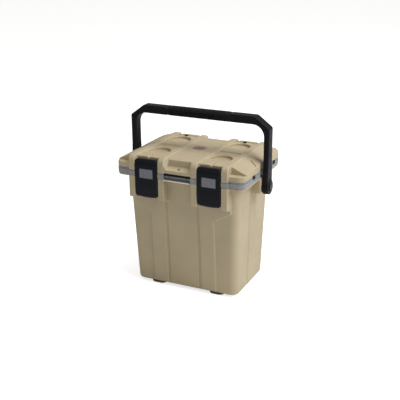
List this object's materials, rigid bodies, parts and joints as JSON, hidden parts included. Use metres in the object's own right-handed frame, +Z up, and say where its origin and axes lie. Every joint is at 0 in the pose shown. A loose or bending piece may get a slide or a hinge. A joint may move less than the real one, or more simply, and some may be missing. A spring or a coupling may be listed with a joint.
{
  "type": "cooler chest",
  "caption": "Hard-sided insulated cooler chest with a hinged lid, press-button latches, cup recesses, a bottle opener and a swinging bail handle",
  "frame": {"origin": "on the floor, under the middle of the chest's overall box", "axes": "+Z up, the latches on the -Y side, +X to the right of someone facing the latches"},
  "size_m": [0.485, 0.3323, 0.5675],
  "materials": {
    "tub_plastic": "tan, lightly textured moulded plastic",
    "lid_plastic": "tan, lightly textured moulded plastic",
    "insulation": "rigid insulating foam",
    "liner_plastic": "smooth white plastic",
    "trim": "satin grey plastic",
    "badge_grey": "satin grey plastic",
    "badge_red": "dull red plastic",
    "foot_rubber": "black rubber",
    "seal_rubber": "black rubber",
    "grip_rubber": "ribbed black rubber",
    "bail_plastic": "satin black plastic",
    "latch_plastic": "satin black plastic",
    "button_plastic": "grey plastic",
    "bush_plastic": "dark plastic",
    "opener_steel": "bright stainless steel",
    "dark_screws": "blackened steel",
    "bolt_black": "black coated steel",
    "pin_steel": "plain stainless steel"
  },
  "bodies": {
    "tub": {"tub_shell": "tub_plastic", "tub_foam": "insulation", "tub_liner": "liner_plastic", "trim_band": "trim", "foot_front_left": "foot_rubber", "foot_front_right": "foot_rubber", "foot_back_left": "foot_rubber", "foot_back_right": "foot_rubber", "bottle_opener": "opener_steel", "opener_screw_left": "dark_screws", "opener_screw_right": "dark_screws", "hinge_bracket_left": "tub_plastic", "hinge_bracket_right": "tub_plastic", "hinge_pin_left": "pin_steel", "hinge_pin_right": "pin_steel", "latch_pin_left": "pin_steel", "latch_pin_right": "pin_steel"},
    "lid": {"lid_shell": "lid_plastic", "lid_liner": "liner_plastic", "lid_foam": "insulation", "lid_seal": "seal_rubber", "badge_plate": "badge_grey", "badge_inlay": "badge_red"},
    "bail_hub": {"bail_bolt_left": "bolt_black", "bail_bolt_right": "bolt_black", "bail_bush_left": "bush_plastic", "bail_bush_right": "bush_plastic"},
    "bail": {"bail_frame": "bail_plastic", "bail_grip": "grip_rubber"},
    "latch_left_body": {"latch_left": "latch_plastic", "button_spring_left": "pin_steel"},
    "latch_right_body": {"latch_right": "latch_plastic", "button_spring_right": "pin_steel"},
    "button_left_body": {"button_left": "button_plastic"},
    "button_right_body": {"button_right": "button_plastic"}
  },
  "joints": [
    {"name": "lid_hinge", "type": "hinge", "parent": "tub", "child": "lid", "pos_m": [0, 0.154, 0.43], "axis": [-1, 0, 0], "range_deg": [0, 100]},
    {"name": "bail_hub_turn", "type": "hinge", "parent": "tub", "child": "bail_hub", "pos_m": [0, 0, 0.345], "axis": [-1, 0, 0], "range_deg": [0, 100]},
    {"name": "bail_swing", "type": "hinge", "parent": "bail_hub", "child": "bail", "pos_m": [0, 0, 0.345], "axis": [-1, 0, 0], "range_deg": [-90, 0]},
    {"name": "latch_left_pivot", "type": "hinge", "parent": "tub", "child": "latch_left_body", "pos_m": [-0.105, -0.156, 0.324], "axis": [1, 0, 0], "range_deg": [0, 105]},
    {"name": "latch_right_pivot", "type": "hinge", "parent": "tub", "child": "latch_right_body", "pos_m": [0.105, -0.156, 0.324], "axis": [1, 0, 0], "range_deg": [0, 105]},
    {"name": "button_left_press", "type": "slide", "parent": "latch_left_body", "child": "button_left_body", "axis": [0, 1, 0], "range_m": [0, 0.0025], "stiffness_N_per_m": 600, "springref_m": -0.003},
    {"name": "button_right_press", "type": "slide", "parent": "latch_right_body", "child": "button_right_body", "axis": [0, 1, 0], "range_m": [0, 0.0025], "stiffness_N_per_m": 600, "springref_m": -0.003}
  ],
  "couplings": [
    {"joint": "bail_hub_turn", "follows": "lid_hinge", "ratio": 1}
  ]
}
